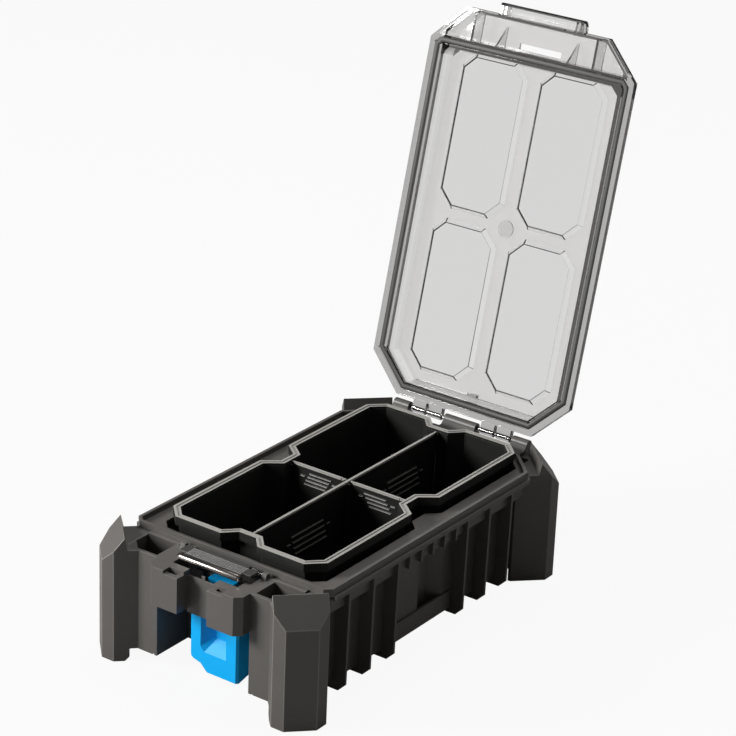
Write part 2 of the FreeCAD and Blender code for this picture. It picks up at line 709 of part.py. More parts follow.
def make_lid_members():
    """The lid's one moulding by node name, open: the window and the members around it.

    The cuts run along the window's edge and through the corners of the well, so that
    each member is straight and the well stays open between them.
    """
    lid = shut_lid()
    far = 2 * CASE_HALF_LENGTH
    low, high = LID_LOW_Z - far, LID_TOP_Z + far
    corner_y = WELL_CORNER_SUM - (DOME_HALF_WIDTH - LID_SKIN)
    corner_x = WELL_CORNER_SUM - WELL_REAR
    window_zone = prism(well_outline(WELL_SIDE_DRAFT, 0.0), low, high)
    frame = lid.cut(window_zone)
    zones = {
        "lid_lip": block(-far, far, -far, WELL_FRONT, low, high),
        "lid_rail_right": block(0.0, far, WELL_FRONT, corner_y, low, high),
        "lid_rail_left": block(-far, 0.0, WELL_FRONT, corner_y, low, high),
        "lid_corner_right": block(corner_x, far, corner_y, far, low, high),
        "lid_corner_left": block(-far, -corner_x, corner_y, far, low, high),
        "lid_rail_rear": block(-corner_x, corner_x, corner_y, far, low, high),
    }
    members = {"lid": open_lid(largest(lid.common(window_zone)))}
    for name, zone in zones.items():
        members[name] = open_lid(largest(frame.common(zone)))
    return members


def make_gasket():
    """Seal ring in the lid's groove, just clear of the rim when shut."""
    outer, inner = seal_outlines()
    seal = ring(inset(outer, SEAL_PLAY), inset(inner, -SEAL_PLAY), RIM_TOP_Z + 0.3, SEAL_TOP_Z)
    return open_lid(seal)


def make_catch_plate():
    """Finely ribbed press plate with pivot barrels and the arms that carry the bar."""
    plate_rear = -160.2
    plate_low, plate_top = 110.0, 112.0
    apron = block(-BAR_HALF + 2.5, BAR_HALF - 2.5, BAR_Y + 1.0, -170.0, plate_low, plate_top)
    plate = block(-PLATE_HALF, PLATE_HALF, -170.5, plate_rear, plate_low, plate_top)
    parts = [apron, plate]
    for index in range(6):
        y = -171.9 + index * 2.1
        reach = BAR_HALF - 3.5
        parts.append(block(-reach, reach, y - 0.5, y + 0.5, plate_top - 0.5, plate_top + 0.6))
    barrel_reach = 27.0
    barrel = rod_x(CATCH_BARREL_RADIUS, -barrel_reach, barrel_reach, CATCH_Y, CATCH_Z)
    web = block(-barrel_reach, barrel_reach, plate_rear - 1.0, -157.5, 109.4, 111.5)
    body = fuse(parts + [barrel, web])
    body = body.cut(rod_x(BAR_RADIUS, -BAR_HALF, BAR_HALF, BAR_Y, BAR_Z))
    return body.cut(rod_x(CATCH_PIN_RADIUS + PIN_PLAY, -50.0, 50.0, CATCH_Y, CATCH_Z))


def make_catch_bar():
    """Polished bar with a hexagonal head at each end."""
    rod = rod_x(BAR_RADIUS, -BAR_HALF + 1.8, BAR_HALF - 1.8, BAR_Y, BAR_Z)
    corners = []
    for index in range(6):
        angle = math.radians(60 * index + 30)
        corners.append((BAR_Y + 3.1 * math.cos(angle), BAR_Z + 3.1 * math.sin(angle)))
    head = along_x(corners, BAR_HALF - 2.0, BAR_HALF)
    return fuse([rod] + both_sides([head]))


def make_catch_pin():
    """Pivot pin of the catch."""
    return rod_x(CATCH_PIN_RADIUS, -46.0, 46.0, CATCH_Y, CATCH_Z)


def biarc_edges(start, start_way, end, end_way):
    """Two arcs that join two points along given unit directions."""
    chord = end - start
    ways = start_way + end_way
    square = 2.0 * (1.0 - start_way.dot(end_way))
    linear = chord.dot(ways)
    reach = (-linear + math.sqrt(linear ** 2 + square * chord.dot(chord))) / square
    middle = (start + start_way * reach + end - end_way * reach) * 0.5
    edges = []
    for first, way, last in ((start, start_way, middle), (middle, None, end)):
        if way is None:
            way = (end - end_way * reach - (start + start_way * reach)).normalize()
        span = last - first
        normal = span.cross(way).cross(span).normalize()
        half_turn = way.getAngle(span)
        crown = (first + last) * 0.5 + normal * (span.Length / 2 * math.tan(half_turn / 2))
        edges.append(Part.Arc(first, crown, last).toShape())
    return edges


def spring_place(turn):
    """Point of the right spring's centre line after a number of turns."""
    angle = 2 * math.pi * turn
    return Vector(
        SPRING_START_X + SPRING_PITCH * turn,
        CATCH_Y + SPRING_RADIUS * math.cos(angle),
        CATCH_Z + SPRING_RADIUS * math.sin(angle)
    )


def spring_heading(turn):
    """Unit direction of the right spring's centre line after a number of turns."""
    angle = 2 * math.pi * turn
    rise = SPRING_PITCH / (2 * math.pi * SPRING_RADIUS)
    return Vector(rise, -math.sin(angle), math.cos(angle)).normalize()


def spring_gap():
    """Least gap between points of the wire at least half a turn apart, less its thickness."""
    per_turn = 48
    points = [spring_place(index / per_turn) for index in range(SPRING_TURNS * per_turn + 1)]
    least = min(
        first.distanceToPoint(second)
        for index, first in enumerate(points)
        for second in points[index + per_turn // 2:]
    )
    return least - 2 * SPRING_WIRE_RADIUS


def make_catch_spring():
    """Right return spring on the catch pin: turns of wire in one unbroken tube."""
    edges = []
    for index in range(SPRING_TURNS * 2):
        low, high = index / 2, (index + 1) / 2
        edges += biarc_edges(
            spring_place(low), spring_heading(low), spring_place(high), spring_heading(high)
        )
    start, along = spring_place(0.0), spring_heading(0.0)
    outward = Vector(0, 1, 0)
    sideways = along.cross(outward)
    corners = []
    for index in range(SPRING_SIDES):
        angle = 2 * math.pi * index / SPRING_SIDES
        reach = outward * math.cos(angle) + sideways * math.sin(angle)
        corners.append(start + reach * SPRING_WIRE_RADIUS)
    section = Part.makePolygon(corners + corners[:1])
    return Part.Wire(edges).makePipeShell([section], True, False)


def make_latch():
    """Sliding stacking latch: finger scoop in front, guided flange behind."""
    plan = [
        (-LATCH_HALF + 2.0, LATCH_FRONT),
        (LATCH_HALF - 2.0, LATCH_FRONT),
        (LATCH_HALF, LATCH_FRONT + 2.0),
        (LATCH_HALF, LATCH_REAR),
        (-LATCH_HALF, LATCH_REAR),
        (-LATCH_HALF, LATCH_FRONT + 2.0),
    ]
    body = prism(plan, LATCH_LOW_Z, LATCH_SHOULDER_Z)
    corner = [
        (-LATCH_HALF - 1, 17.0), (-LATCH_HALF, 17.0), (-21.4, 13.7), (-13.7, 11.8),
        (-8.0, 6.1), (-6.5, LATCH_LOW_Z), (-6.5, LATCH_LOW_Z - 1), (-LATCH_HALF - 1, LATCH_LOW_Z - 1),
    ]
    body = body.cut(along_y(corner, LATCH_FRONT - 1, LATCH_REAR + 1))
    heel = [(LATCH_FRONT + 3, LATCH_LOW_Z - 1), (LATCH_FRONT + 3, LATCH_LOW_Z),
            (LATCH_REAR + 1, 9.2), (LATCH_REAR + 1, LATCH_LOW_Z - 1)]
    body = body.cut(along_x(heel, -30, 30))
    scoop_front = [(-14.0, 28.5), (-10.0, 23.5), (13.5, 23.5), (13.5, 61.0), (-14.0, 61.0)]
    scoop_back = [(-5.0, 36.0), (-4.0, 34.5), (7.5, 34.5), (7.5, 60.0), (-5.0, 60.0)]
    wires = []
    for y, corners in ((LATCH_FRONT - 0.01, scoop_front), (LATCH_FRONT + 10.0, scoop_back)):
        loop = [Vector(x, y, z) for x, z in corners]
        wires.append(Part.makePolygon(loop + loop[:1]))
    body = body.cut(Part.makeLoft(wires, True, True))
    stem = block(*LATCH_STEM_X, -166.0, -160.0, LATCH_SHOULDER_Z - 1, LATCH_TOP_Z)
    cap = block(*LATCH_STEM_X, -168.2, -158.5, LATCH_TOP_Z - 3.0, LATCH_TOP_Z)
    flange = block(-29.4, 29.4, LATCH_REAR - 0.1, -147.4, 14.0, 60.0)
    core = block(-22.5, 22.5, -157.0, LATCH_REAR - 0.1, 26.0, LATCH_SHOULDER_Z + 1)
    return fuse([body.cut(core), stem.fuse(cap), flange])


def screw_at(x, z, radius, length, y):
    """Cylinder along +Y from a front face."""
    return Part.makeCylinder(radius, length, Vector(x, y, z), Vector(0, 1, 0))


def screw_head(x, z, play):
    """Cone of a countersunk head with its face at the guide's front, wider by the play."""
    return Part.makeCone(
        SCREW_HEAD_RADIUS + play, SCREW_RADIUS + play, SCREW_HEAD_RADIUS - SCREW_RADIUS,
        Vector(x, GUIDE_FRONT, z), Vector(0, 1, 0)
    )


def make_latch_guide():
    """Guide on the tub's front wall that holds the latch flange."""
    low, high = GUIDE_Z
    outer = GUIDE_HALF
    back = block(-outer, outer, GUIDE_FRONT, BAY_REAR, low, high)
    rails = both_sides([
        block(outer - 3.6, outer, -152.4, GUIDE_FRONT + 1.0, low, high),
        block(outer - 6.9, outer, -152.4, -149.8, low, high),
    ])
    window = block(-18.0, 18.0, GUIDE_FRONT - 1.0, BAY_REAR + 1, low + 14.0, high - 14.0)
    holes = []
    for x, z in SCREW_PLACES:
        holes.append(screw_at(x, z, SCREW_RADIUS + SCREW_PLAY, SCREW_LENGTH, GUIDE_FRONT))
        holes.append(screw_head(x, z, SCREW_PLAY))
    return fuse([back] + rails).cut(Part.makeCompound([window] + holes))


def make_guide_screws():
    """Four countersunk screws through the latch guide into the tub's front wall."""
    screws = []
    for x, z in SCREW_PLACES:
        shank = screw_at(x, z, SCREW_RADIUS, SCREW_LENGTH, GUIDE_FRONT)
        screws.append(fuse([shank, screw_head(x, z, 0.0)]))
    return Part.makeCompound(screws)


def make_hinge_pin():
    """Right hinge pin."""
    return rod_x(PIN_RADIUS, *PIN_ENDS_X, AXIS_Y, AXIS_Z)


def tray_outline(step):
    """Tray's outer outline moved inwards by a step."""
    outline = octagon(TRAY_HALF_WIDTH, TRAY_FRONT, TRAY_REAR, TRAY_CHAMFER, TRAY_CHAMFER)
    return inset(notched(outline, SIDE_NOTCH, END_NOTCH), step)


def guide_pair(x, y, way_x, way_y, z_low, z_high, half_gap):
    """Two upright ribs on either side of a divider's end; way points off the wall."""
    ribs = []
    for side in (-1, 1):
        if way_x:
            low, high = sorted((x, x + way_x * 3.4))
            y_near, y_far = sorted((y + side * half_gap, y + side * (half_gap + 1.6)))
            ribs.append(block(low, high, y_near, y_far, z_low, z_high))
        else:
            low, high = sorted((y, y + way_y * 3.4))
            x_near, x_far = sorted((x + side * half_gap, x + side * (half_gap + 1.6)))
            ribs.append(block(x_near, x_far, low, high, z_low, z_high))
    return ribs


def make_tray():
    """Deep tray with a rolled rim, notches and guides for the dividers."""
    rim = ring(tray_outline(0.0), tray_outline(TRAY_RIM + TRAY_WALL), TRAY_SKIRT_Z, TRAY_TOP_Z)
    under = ring(tray_outline(TRAY_WALL), tray_outline(TRAY_RIM), TRAY_SKIRT_Z - 1, TRAY_TOP_Z - 2.5)
    groove = ring(
        tray_outline(TRAY_WALL + 0.4), tray_outline(TRAY_RIM + 0.2), TRAY_TOP_Z - 0.8, TRAY_TOP_Z + 1
    )
    rim = rim.cut(under).cut(groove)
    floor_z = TUB_FLOOR_TOP
    outer = taper(
        tray_outline(TRAY_RIM + TRAY_DRAFT), floor_z, tray_outline(TRAY_RIM), TRAY_TOP_Z - 2.0
    )
    inner = taper(
        tray_outline(TRAY_RIM + TRAY_DRAFT + TRAY_WALL), floor_z + TRAY_FLOOR,
        tray_outline(TRAY_RIM + TRAY_WALL), TRAY_TOP_Z + 0.5
    )
    end_y = TRAY_FRONT + END_NOTCH[0] + TRAY_RIM + 1.0
    rear_y = TRAY_REAR - END_NOTCH[0] - TRAY_RIM - 1.0
    side_x = TRAY_HALF_WIDTH - SIDE_NOTCH[0] - TRAY_RIM - 1.0
    guide_top = TRAY_TOP_Z - 4.0
    gap = DIVIDER_THICK / 2 + 0.35
    guides = guide_pair(0.0, end_y, 0, 1, floor_z + 1, guide_top, gap)
    guides += guide_pair(0.0, rear_y, 0, -1, floor_z + 1, guide_top, gap)
    guides += guide_pair(side_x, NOTCH_CENTRE_Y, -1, 0, floor_z + 1, guide_top, gap)
    guides += guide_pair(-side_x, NOTCH_CENTRE_Y, 1, 0, floor_z + 1, guide_top, gap)
    walls = outer.cut(inner)
    inside = [guide.common(outer) for guide in guides]
    return fuse([walls, rim] + inside)


def grip_bars(count, length, pitch):
    """Centres and half lengths of staggered grip bars as (along, up, half)."""
    bars = []
    for row in range(count):
        shift = (row - 1) * 2.0
        bars.append((shift, -row * pitch, length / 2))
    bars.append((-length / 2 - 5.5, -pitch, 2.5))
    bars.append((length / 2 + 5.5, -pitch, 2.5))
    return bars


def make_long_divider():
    """Long divider along the middle, with cross guides and grip bars."""
    half = DIVIDER_THICK / 2
    low = TUB_FLOOR_TOP + TRAY_FLOOR + PLAY
    front = TRAY_FRONT + END_NOTCH[0] + TRAY_RIM + TRAY_WALL + 1.6
    rear = TRAY_REAR - END_NOTCH[0] - TRAY_RIM - TRAY_WALL - 1.6
    foot_front, foot_rear = front + 2.6, rear - 2.6
    web = along_x(
        [(foot_front, low), (foot_rear, low), (rear, DIVIDER_TOP_Z), (front, DIVIDER_TOP_Z)],
        -half, half
    )
    wide = half + CREST_PROUD
    crest = block(-wide, wide, foot_front + 4, foot_rear - 4, DIVIDER_TOP_Z - 2, DIVIDER_TOP_Z)
    parts = [web, crest]
    for centre_y, top_z in ((-42.0, 96.0), (100.0, 96.0)):
        for shift, up, reach in grip_bars(4, 46.0, 6.0):
            z = top_z + up
            y = centre_y + shift
            parts.append(block(half - 0.1, half + GRIP_PROUD, y - reach, y + reach, z - GRIP_HEIGHT, z))
    return fuse(parts)


def make_divider_guides():
    """Solids moulded on the long divider's faces.

    Four upright guides hold the cross dividers' edges in pairs, and the two arms of a
    tee widen the divider's front end under the tray's rim.
    """
    half = DIVIDER_THICK / 2
    low = TUB_FLOOR_TOP + TRAY_FLOOR + PLAY
    front = TRAY_FRONT + END_NOTCH[0] + TRAY_RIM + TRAY_WALL + 1.6
    solids = []
    for side in (-1, 1):
        for wing in (-1, 1):
            y_near = NOTCH_CENTRE_Y + wing * (half + 0.35)
            points = [
                (side * half, y_near),
                (side * (half + GUIDE_REACH), y_near),
                (side * (half + GUIDE_REACH - 1.0), y_near + wing * 1.6),
                (side * half, y_near + wing * 3.4),
            ]
            solids.append(prism(points, low, DIVIDER_TOP_Z - 2.5))
    arm = block(half, TEE_HALF, front, front + 1.0, TRAY_TOP_Z - 3.7, DIVIDER_TOP_Z)
    return Part.makeCompound(solids + both_sides([arm]))


def make_cross_divider_right():
    """Half divider from the long divider to the tray's side notch."""
    half = DIVIDER_THICK / 2
    low = TUB_FLOOR_TOP + TRAY_FLOOR + PLAY
    inner = half + GRIP_PROUD + PLAY
    top_reach = TRAY_HALF_WIDTH - SIDE_NOTCH[0] - TRAY_RIM - TRAY_WALL - 0.4
    low_reach = top_reach - TRAY_DRAFT
    profile = [(inner, low), (low_reach, low), (top_reach, DIVIDER_TOP_Z), (inner, DIVIDER_TOP_Z)]
    web = along_y(profile, NOTCH_CENTRE_Y - half, NOTCH_CENTRE_Y + half)
    wide = half + CREST_PROUD
    crest = block(
        inner + 5, top_reach - 6, NOTCH_CENTRE_Y - wide, NOTCH_CENTRE_Y + wide,
        DIVIDER_TOP_Z - 2, DIVIDER_TOP_Z
    )
    parts = [web, crest]
    face = NOTCH_CENTRE_Y - half
    for shift, up, reach in grip_bars(4, 24.0, 3.7):
        x = 32.0 + shift
        z = 113.5 + up
        parts.append(block(x - reach, x + reach, face - GRIP_PROUD, face + 0.1, z - GRIP_HEIGHT, z))
    return fuse(parts)


def make_cross_divider_left():
    """Left half divider: the same moulding, with its grips on the front as well."""
    return mirror_x(make_cross_divider_right())


def build():
    """All sub-parts by node name."""
    envelope = tub_envelope()
    posts = make_posts(envelope)
    pin = make_hinge_pin()
    nodes = {"tub_body": make_tub()}
    nodes.update(posts)
    front_posts = [posts["corner_post_front_right"], posts["corner_post_front_left"]]
    nodes["front_housing"] = make_housing(envelope, front_posts)
    nodes["hinge_pin_right"] = pin
    nodes["hinge_pin_left"] = mirror_x(pin)
    nodes.update(make_lid_members())
    nodes["lid_gasket"] = make_gasket()
    nodes["catch_plate"] = make_catch_plate()
    nodes["catch_bar"] = make_catch_bar()
    nodes["catch_pin"] = make_catch_pin()
    nodes["catch_spring_right"] = make_catch_spring()
    nodes["catch_spring_left"] = mirror_x(make_catch_spring())
    nodes["stack_latch"] = make_latch()
    nodes["latch_guide"] = make_latch_guide()
    nodes["guide_screws"] = make_guide_screws()
    nodes["tray"] = make_tray()
    nodes["long_divider"] = make_long_divider()
    nodes["divider_guides"] = make_divider_guides()
    nodes["cross_divider_right"] = make_cross_divider_right()
    nodes["cross_divider_left"] = make_cross_divider_left()
    return nodes


def main():
    """Write one file per sub-part."""
    os.makedirs("parts", exist_ok=True)
    print(f"least gap between the turns of a catch spring: {spring_gap():.2f} mm")
    for name, shape in build().items():
        solids = len(shape.Solids)
        print(f"{name}: solids {solids}, volume {shape.Volume / 1000:.1f} cm3, valid {shape.isValid()}")
        shape.exportStep(f"parts/{name}.step")


main()
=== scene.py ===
"""Looks of the stackable tool organizer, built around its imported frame.

The mouldings are copies of the frame's pieces, welded and given the small edge radii
of a real moulding, because an edge that is rounded in the mesh catches the light as it
does in the photograph. The seal, the springs and the bar are drawn anew in their round
forms, and the pins and screws keep the frame's shapes.
"""

import json
import logging
from dataclasses import dataclass, field
from enum import Enum
from typing import Any, Iterable, Sequence

import bmesh
import bpy
import numpy as np
from mathutils import Matrix, Vector

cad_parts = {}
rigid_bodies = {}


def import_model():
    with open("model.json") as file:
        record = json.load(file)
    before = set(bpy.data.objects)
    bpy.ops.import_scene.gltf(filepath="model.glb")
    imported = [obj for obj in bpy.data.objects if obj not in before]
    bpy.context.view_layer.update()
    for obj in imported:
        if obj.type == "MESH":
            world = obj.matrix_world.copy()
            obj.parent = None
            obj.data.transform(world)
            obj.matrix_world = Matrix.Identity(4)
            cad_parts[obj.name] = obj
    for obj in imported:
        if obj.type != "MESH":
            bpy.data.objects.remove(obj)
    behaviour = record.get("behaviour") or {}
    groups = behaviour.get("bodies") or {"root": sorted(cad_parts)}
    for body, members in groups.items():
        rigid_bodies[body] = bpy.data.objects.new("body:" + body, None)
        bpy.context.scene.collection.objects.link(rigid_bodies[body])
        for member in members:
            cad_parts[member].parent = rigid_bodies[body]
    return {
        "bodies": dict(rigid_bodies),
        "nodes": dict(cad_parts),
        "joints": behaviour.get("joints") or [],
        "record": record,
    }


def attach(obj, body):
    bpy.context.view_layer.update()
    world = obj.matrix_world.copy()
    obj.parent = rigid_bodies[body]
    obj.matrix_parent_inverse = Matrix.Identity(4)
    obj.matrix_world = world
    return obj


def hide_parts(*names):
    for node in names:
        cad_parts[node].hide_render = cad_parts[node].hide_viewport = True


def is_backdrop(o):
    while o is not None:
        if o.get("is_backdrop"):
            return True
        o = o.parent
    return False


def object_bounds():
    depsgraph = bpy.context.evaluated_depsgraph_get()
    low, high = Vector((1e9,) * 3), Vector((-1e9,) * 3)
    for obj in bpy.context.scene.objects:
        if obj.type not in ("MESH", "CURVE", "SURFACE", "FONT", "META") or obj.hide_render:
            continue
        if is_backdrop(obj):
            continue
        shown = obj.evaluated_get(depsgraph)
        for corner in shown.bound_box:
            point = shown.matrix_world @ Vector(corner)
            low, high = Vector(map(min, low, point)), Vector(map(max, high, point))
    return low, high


LOG = logging.getLogger("tool_organizer")
MM = 0.001
TEXTURED = "textured"
STORED_NORMALS = ("custom_normal", "sharp_edge", "sharp_face")
WELD_MM = 0.002
FLAT_DEG = 0.6
ANY_SHAPE_DEG = 180.0
NORMAL_WEIGHT = 100
OPAQUE = 1.0
WHITE = (1.0, 1.0, 1.0, OPAQUE)
# A colour Mix node has several sockets of one name; these are the ones for colour.
MIX_A, MIX_B, MIX_RESULT = 6, 7, 2


class Tint(Enum):
    """Colours as they look on the object, sRGB hex."""

    CHARCOAL = "#504D4A"
    TRAY = "#1D1D1C"
    # Painted highlight: the pale band on the tray's rim and the dividers' tops and grip bars.
    TRAY_RIM_HIGHLIGHT = "#96948F"
    CATCH = "#393735"
    CLEAR = "#FFFFFF"
    SMOKE = "#6E6966"
    TEXTURED_CLEAR = "#F6F4F3"
    SEAL = "#333231"
    LATCH_BLUE = "#0A9FE0"
    DARK_STEEL = "#8D8A86"
    BAR = "#7B7672"
    FLOOR = "#A0A0A0"


def linear(colour: str) -> tuple[float, float, float, float]:
    """Turn an sRGB hex colour to the linear values that the shaders take.

    Args:
        colour: "#RRGGBB".

    Returns:
        Linear red, green and blue, and an alpha of 1.
    """
    values = np.array([int(colour[i:i + 2], 16) for i in (1, 3, 5)]) / 255.0
    low = values / 12.92
    high = ((values + 0.055) / 1.055) ** 2.4
    red, green, blue = np.where(values <= 0.04045, low, high)
    return float(red), float(green), float(blue), OPAQUE


def add_node(
    tree: bpy.types.NodeTree,
    kind: str,
    settings: dict[str, Any] | None = None,
    inputs: dict[str, Any] | None = None,
) -> bpy.types.Node:
    """Add one shader node with its settings, socket values and links.

    Args:
        tree: Node tree of the material or world.
        kind: Node type name.
        settings: Attributes set on the node itself.
        inputs: Socket name to a constant, or to an output socket to link.

    Returns:
        The new node.
    """
    node = tree.nodes.new(kind)
    for name, value in (settings or {}).items():
        setattr(node, name, value)
    for name, value in (inputs or {}).items():
        socket = node.inputs[name]
        if isinstance(value, bpy.types.NodeSocket):
            tree.links.new(value, socket)
        else:
            socket.default_value = value
    return node


def new_material(name: str) -> bpy.types.Material:
    """Make an empty node material."""
    material = bpy.data.materials.new(name)
    material.use_nodes = True
    material.node_tree.nodes.clear()
    return material


@dataclass(frozen=True)
class MouldedPolymer:
    """Injection moulded thermoplastic from a spark-eroded tool: matt, finely grained.

    The real grain is about 0.15 mm, too fine to show here, so it is drawn at grain_mm.
    The slow flow marks are where the melt ran, and break up the broad flat faces.
    """

    name: str
    tint: Tint
    roughness: float = 0.42
    grain_mm: float = 0.9
    grain_depth_mm: float = 0.02
    flow_mm: float = 60.0
    flow_strength: float = 0.10
    ior: float = 1.49
    specular: float = 0.5
    # Gain on the colour of the paler copy that bevelled edges carry: a painted highlight.
    edge_highlight_gain: float = 1.9
    rough_spread: tuple[float, float] = (0.04, 0.05)

    def build(self, edge_highlight: bool = False) -> bpy.types.Material:
        """Build the material.

        Args:
            edge_highlight: Whether it is the paler copy that the bevelled edges carry, a
                painted highlight.

        Returns:
            Material with grain as bump and slow flow marks in colour and roughness.
        """
        material = new_material(f"{self.name}_painted_edge_highlight" if edge_highlight else self.name)
        tree = material.node_tree
        place = add_node(tree, "ShaderNodeTexCoord").outputs["Object"]
        # One noise cell is a scale of 1 per metre over the real grain size.
        grain = add_node(tree, "ShaderNodeTexNoise", None, {
            "Vector": place, "Scale": 1.0 / (self.grain_mm * MM), "Detail": 2.0,
            "Roughness": 0.6,
        })
        flow = add_node(tree, "ShaderNodeTexNoise", None, {
            "Vector": place, "Scale": 1.0 / (self.flow_mm * MM), "Detail": 3.0,
        })
        # The edge copy's colour is raised by the gain: a painted highlight on the bevels.
        base = np.array(linear(self.tint.value)) * (self.edge_highlight_gain if edge_highlight else 1.0)
        base = np.minimum(base, 1.0)
        dark = tuple(float(value) for value in base * (1.0 - self.flow_strength))
        light = tuple(float(value) for value in base * (1.0 + self.flow_strength))
        colour = add_node(tree, "ShaderNodeMix", {"data_type": "RGBA"}, {
            "Factor": flow.outputs["Fac"],
        })
        colour.inputs[MIX_A].default_value = dark[:3] + (OPAQUE,)
        colour.inputs[MIX_B].default_value = light[:3] + (OPAQUE,)
        rough = add_node(tree, "ShaderNodeMapRange", None, {
            "Value": flow.outputs["Fac"],
            "To Min": self.roughness - self.rough_spread[0],
            "To Max": self.roughness + self.rough_spread[1],
        })
        bump = add_node(tree, "ShaderNodeBump", None, {
            "Height": grain.outputs["Fac"], "Distance": self.grain_depth_mm * MM,
            "Strength": 1.0,
        })
        shader = add_node(tree, "ShaderNodeBsdfPrincipled", None, {
            "Base Color": colour.outputs[MIX_RESULT], "Roughness": rough.outputs["Result"],
            "IOR": self.ior, "Normal": bump.outputs["Normal"],
            "Specular IOR Level": self.specular,
        })
        add_node(tree, "ShaderNodeOutputMaterial", None, {"Surface": shader.outputs[0]})
        return material


@dataclass(frozen=True)
class ClearPolycarbonate:
    """Smoke-tinted polycarbonate from a polished tool.

    Its faces are clear and glossy, and its edges look dark, because light crosses more
    of it there. The top's cross comes from a textured part of the tool and looks milky.
    """

    name: str
    tint: Tint
    textured_tint: Tint
    absorbed: Tint
    density_per_metre: float
    roughness: float = 0.03
    textured_roughness: float = 0.38
    ior: float = 1.585
    ripple_mm: float = 35.0
    ripple_depth_mm: float = 0.02

    def build(self) -> bpy.types.Material:
        """Build the material.

        Returns:
            Clear material with the faint ripple of a moulded sheet, rougher and milkier
            where the piece's attribute TEXTURED is 1. It is one material, because light
            has to leave the wall by the same finish that it came in by.
        """
        material = new_material(self.name)
        tree = material.node_tree
        place = add_node(tree, "ShaderNodeTexCoord").outputs["Object"]
        ripple = add_node(tree, "ShaderNodeTexNoise", None, {
            "Vector": place, "Scale": 1.0 / (self.ripple_mm * MM), "Detail": 1.0,
        })
        bump = add_node(tree, "ShaderNodeBump", None, {
            "Height": ripple.outputs["Fac"], "Distance": self.ripple_depth_mm * MM,
            "Strength": 1.0,
        })
        texture = add_node(tree, "ShaderNodeAttribute", {"attribute_name": TEXTURED})
        rough = add_node(tree, "ShaderNodeMapRange", None, {
            "Value": texture.outputs["Fac"],
            "To Min": self.roughness, "To Max": self.textured_roughness,
        })
        colour = add_node(tree, "ShaderNodeMix", {"data_type": "RGBA"}, {
            "Factor": texture.outputs["Fac"],
        })
        colour.inputs[MIX_A].default_value = linear(self.tint.value)
        colour.inputs[MIX_B].default_value = linear(self.textured_tint.value)
        shader = add_node(tree, "ShaderNodeBsdfPrincipled", None, {
            "Base Color": colour.outputs[MIX_RESULT], "Roughness": rough.outputs["Result"],
            "IOR": self.ior, "Transmission Weight": 1.0, "Normal": bump.outputs["Normal"],
        })
        body = add_node(tree, "ShaderNodeVolumeAbsorption", None, {
            "Color": linear(self.absorbed.value), "Density": self.density_per_metre,
        })
        add_node(tree, "ShaderNodeOutputMaterial", None, {
            "Surface": shader.outputs[0], "Volume": body.outputs[0],
        })
        return material


@dataclass(frozen=True)
class DrawnMetal:
    """Drawn or turned steel: fine lines along X, where the die pulled it.

    The real lines are about 0.05 mm apart, too fine to show, so they are drawn at line_mm.
    """

    name: str
    tint: Tint
    roughness: float = 0.25
    line_mm: float = 0.3
    line_stretch: float = 0.02
    rough_spread: tuple[float, float] = (0.06, 0.08)

    def build(self) -> bpy.types.Material:
        """Build the material.

        Returns:
            Metal whose roughness varies in lines along X.
        """
        material = new_material(self.name)
        tree = material.node_tree
        place = add_node(tree, "ShaderNodeTexCoord").outputs["Object"]
        per_metre = 1.0 / (self.line_mm * MM)
        stretch = add_node(tree, "ShaderNodeMapping", None, {
            "Vector": place,
            "Scale": (per_metre * self.line_stretch, per_metre, per_metre),
        })
        lines = add_node(tree, "ShaderNodeTexNoise", None, {
            "Vector": stretch.outputs["Vector"], "Scale": 1.0, "Detail": 2.0,
        })
        rough = add_node(tree, "ShaderNodeMapRange", None, {
            "Value": lines.outputs["Fac"],
            "To Min": self.roughness - self.rough_spread[0],
            "To Max": self.roughness + self.rough_spread[1],
        })
        shader = add_node(tree, "ShaderNodeBsdfPrincipled", None, {
            "Base Color": linear(self.tint.value), "Metallic": 1.0,
            "Roughness": rough.outputs["Result"],
        })
        add_node(tree, "ShaderNodeOutputMaterial", None, {"Surface": shader.outputs[0]})
        return material


@dataclass(frozen=True)
class EdgeRadius:
    """Radius that a mould leaves on the outer edges of a piece."""

    width_mm: float
    segments: int = 2
    angle_deg: float = 28.0


def welded_copy(node: bpy.types.Object, name: str) -> bpy.types.Object:
    """Copy a frame node with its loose triangles welded to a closed skin.

    Args:
        node: Object from the frame.
        name: Name of the new piece.

    Returns:
        New object at the origin.
    """
    mesh = node.data.copy()
    mesh.materials.clear()
    for stored in STORED_NORMALS:
        if stored in mesh.attributes:
            mesh.attributes.remove(mesh.attributes[stored])
    work = bmesh.new()
    work.from_mesh(mesh)
    bmesh.ops.remove_doubles(work, verts=work.verts, dist=WELD_MM * MM)
    work.to_mesh(mesh)
    work.free()
    piece = bpy.data.objects.new(name, mesh)
    bpy.context.scene.collection.objects.link(piece)
    return piece


def join_flat_faces(piece: bpy.types.Object) -> None:
    """Join a piece's triangles, where they lie flat, to four-sided faces."""
    work = bmesh.new()
    work.from_mesh(piece.data)
    bmesh.ops.triangulate(work, faces=work.faces)
    bmesh.ops.join_triangles(
        work, faces=work.faces, angle_face_threshold=np.radians(FLAT_DEG),
        angle_shape_threshold=np.radians(ANY_SHAPE_DEG),
    )
    work.to_mesh(piece.data)
    work.free()


def merged_copy(node: bpy.types.Object, name: str) -> bpy.types.Object:
    """Copy a frame node, welded and with its flat faces joined."""
    piece = welded_copy(node, name)
    join_flat_faces(piece)
    return piece


